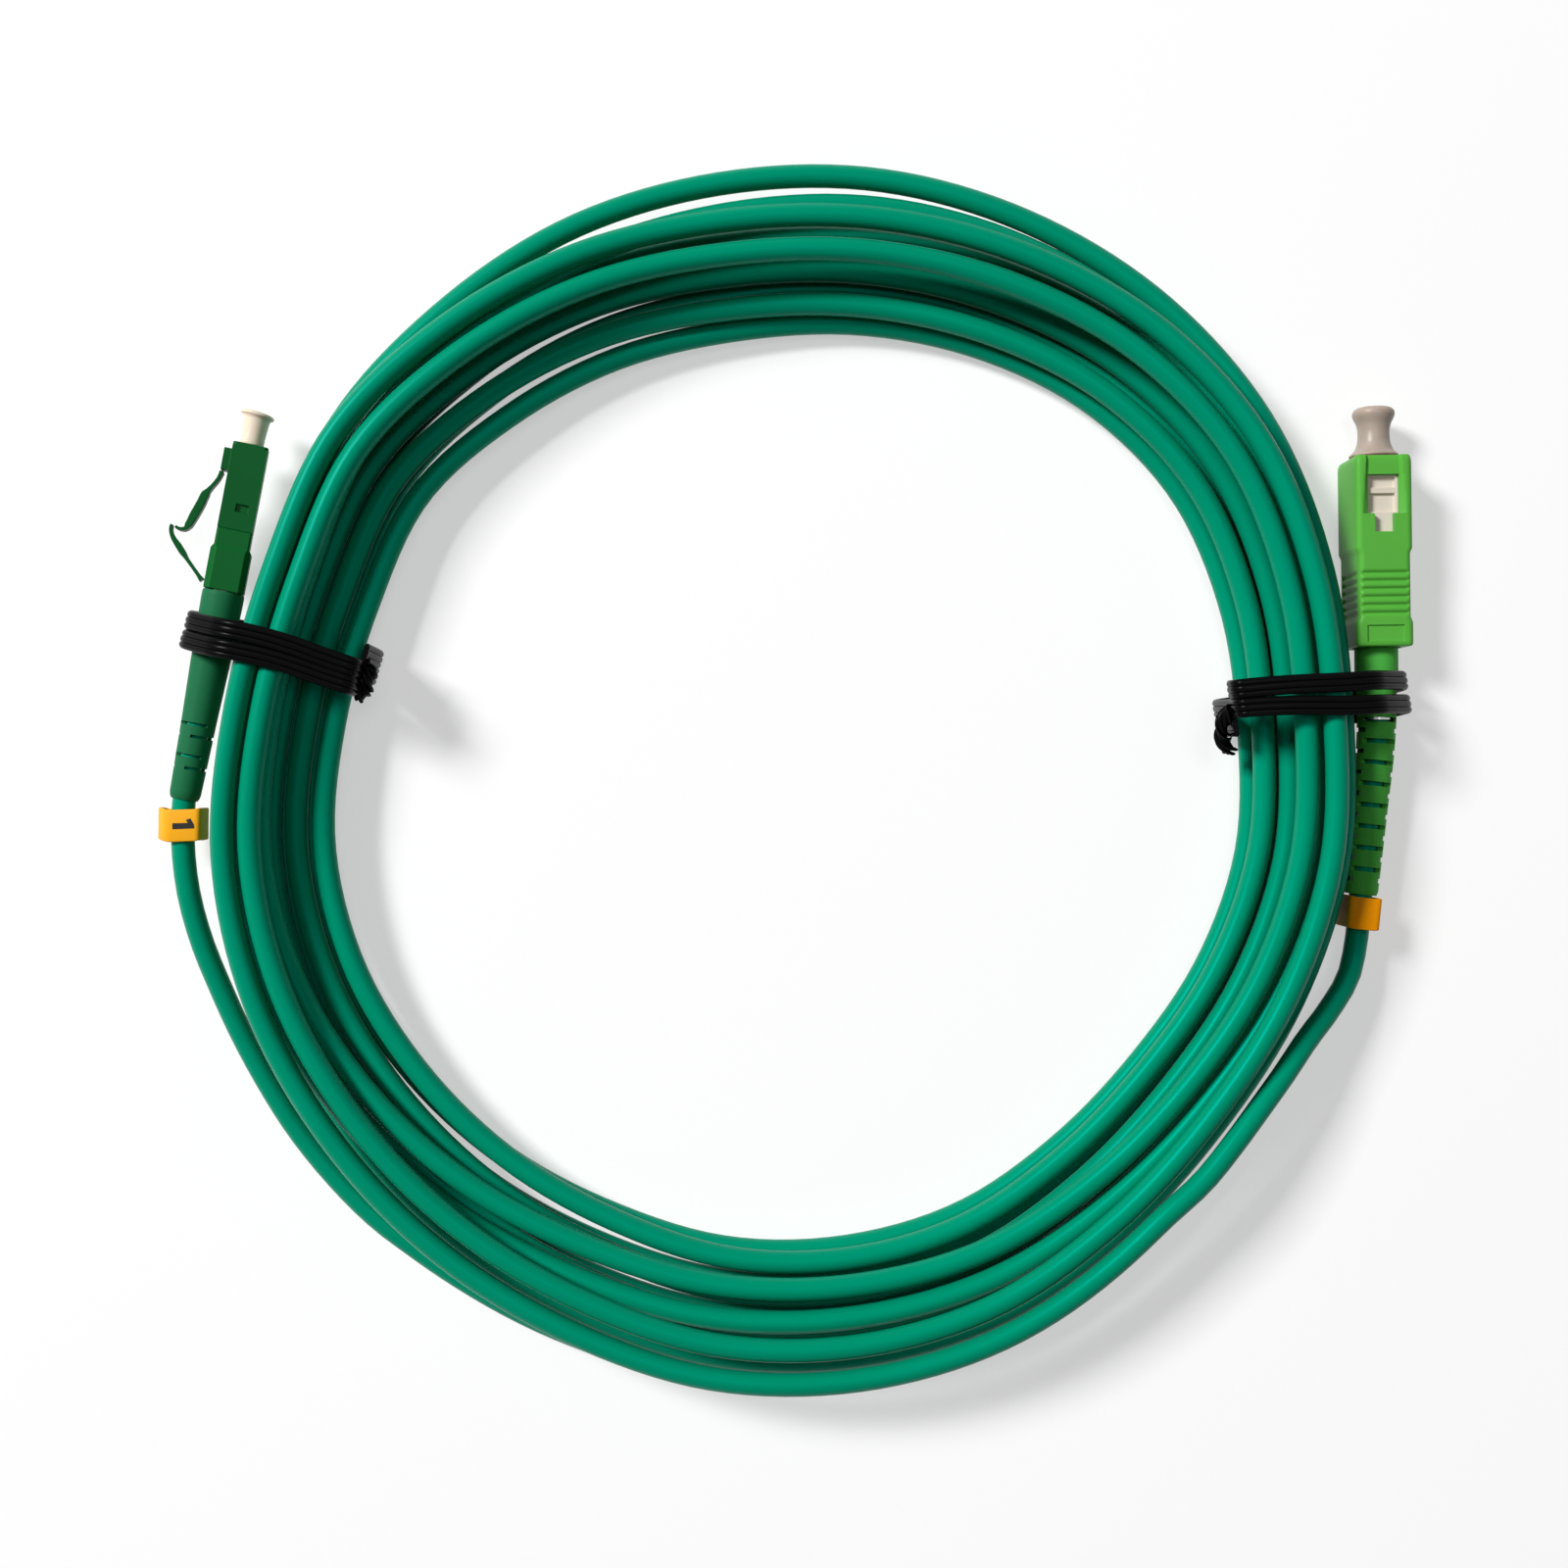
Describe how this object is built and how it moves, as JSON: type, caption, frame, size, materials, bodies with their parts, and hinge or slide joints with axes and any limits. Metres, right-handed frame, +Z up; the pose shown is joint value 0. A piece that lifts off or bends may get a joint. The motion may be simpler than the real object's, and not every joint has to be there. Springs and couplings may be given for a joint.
{
  "type": "fibre optic patch cord",
  "caption": "Coiled simplex optical fibre patch cord with a small-form plug at one end, a push-pull plug at the other, dust caps, twist ties and cable markers.",
  "frame": {"origin": "centre of the coil's eye, on the surface the coil lies on", "axes": "+Z up out of the surface, +X towards the push-pull plug, +Y towards the tips of both plugs"},
  "size_m": [0.167, 0.1603, 0.0156],
  "materials": {
    "jacket": "smooth satin cable jacket",
    "tie": "glossy black ribbed twist tie",
    "marker_yellow": "soft satin sleeve",
    "marker_orange": "soft satin sleeve",
    "lc_plastic": "satin dark green moulding",
    "lc_boot": "soft satin boot",
    "lc_cap": "cream translucent cap",
    "ceramic": "polished white zirconia",
    "metal": "plain nickel-plated metal",
    "brass": "turned",
    "buffer": "white tight buffer",
    "sc_housing": "satin lime green moulding",
    "sc_frame": "satin ivory moulding",
    "sc_boot": "soft satin boot",
    "sc_cap": "grey-beige translucent cap"
  },
  "bodies": {
    "cord": {"cable_coil": "jacket", "lead_lc": "jacket", "lead_sc": "jacket", "tie_left": "tie", "tie_right": "tie", "lc_front_housing": "lc_plastic", "lc_rear_clip": "lc_plastic", "lc_spring": "metal", "lc_backbone": "metal", "lc_crimp": "metal", "lc_boot": "lc_boot", "sc_frame": "sc_frame", "sc_spring": "metal", "sc_backbone": "metal", "sc_crimp": "metal", "sc_boot": "sc_boot"},
    "marker_lc": {"marker_lc": "marker_yellow"},
    "marker_sc": {"marker_sc": "marker_orange"},
    "lc_latch": {"lc_latch": "lc_plastic"},
    "lc_trigger": {"lc_trigger": "lc_plastic"},
    "lc_ferrule": {"lc_ferrule": "ceramic", "lc_flange": "brass", "lc_buffer": "buffer"},
    "lc_cap": {"lc_cap": "lc_cap"},
    "sc_grip": {"sc_grip": "sc_housing"},
    "sc_ferrule": {"sc_ferrule": "ceramic", "sc_flange": "brass", "sc_buffer": "buffer"},
    "sc_cap": {"sc_cap": "sc_cap"}
  },
  "joints": [
    {"name": "sc_grip_pull", "type": "slide", "parent": "cord", "child": "sc_grip", "axis": [0.0122, -0.9999, 0], "range_m": [0, 0.0012]},
    {"name": "sc_ferrule_float", "type": "slide", "parent": "cord", "child": "sc_ferrule", "axis": [0.0122, -0.9999, 0], "range_m": [0, 0.0008], "stiffness_N_per_m": 300, "deforming": ["sc_spring"]},
    {"name": "sc_cap_pull", "type": "slide", "parent": "cord", "child": "sc_cap", "axis": [-0.0122, 0.9999, 0], "range_m": [0, 0.012]},
    {"name": "lc_ferrule_float", "type": "slide", "parent": "cord", "child": "lc_ferrule", "axis": [-0.1874, -0.9823, 0], "range_m": [0, 0.0006], "stiffness_N_per_m": 200, "deforming": ["lc_spring"]},
    {"name": "lc_cap_pull", "type": "slide", "parent": "cord", "child": "lc_cap", "axis": [0.1874, 0.9823, 0], "range_m": [0, 0.01]},
    {"name": "lc_latch_press", "type": "hinge", "parent": "cord", "child": "lc_latch", "pos_m": [-0.07463, 0.04068, 0.00753], "axis": [0.2376, -0.0453, 0.9703], "range_deg": [0, 5], "stiffness_Nm_per_rad": 0.01},
    {"name": "lc_trigger_press", "type": "hinge", "parent": "cord", "child": "lc_trigger", "pos_m": [-0.07721, 0.02661, 0.0075], "axis": [0.2376, -0.0453, 0.9703], "range_deg": [-7, 0]},
    {"name": "marker_lc_slide", "type": "slide", "parent": "cord", "child": "marker_lc", "axis": [-0.0175, -0.9998, 0], "range_m": [0, 0.0025]},
    {"name": "marker_sc_slide", "type": "slide", "parent": "cord", "child": "marker_sc", "axis": [-0.1011, -0.9949, 0], "range_m": [0, 0.0025]}
  ],
  "couplings": [
    {"joint": "lc_trigger_press", "follows": "lc_latch_press", "ratio": -1.3}
  ]
}
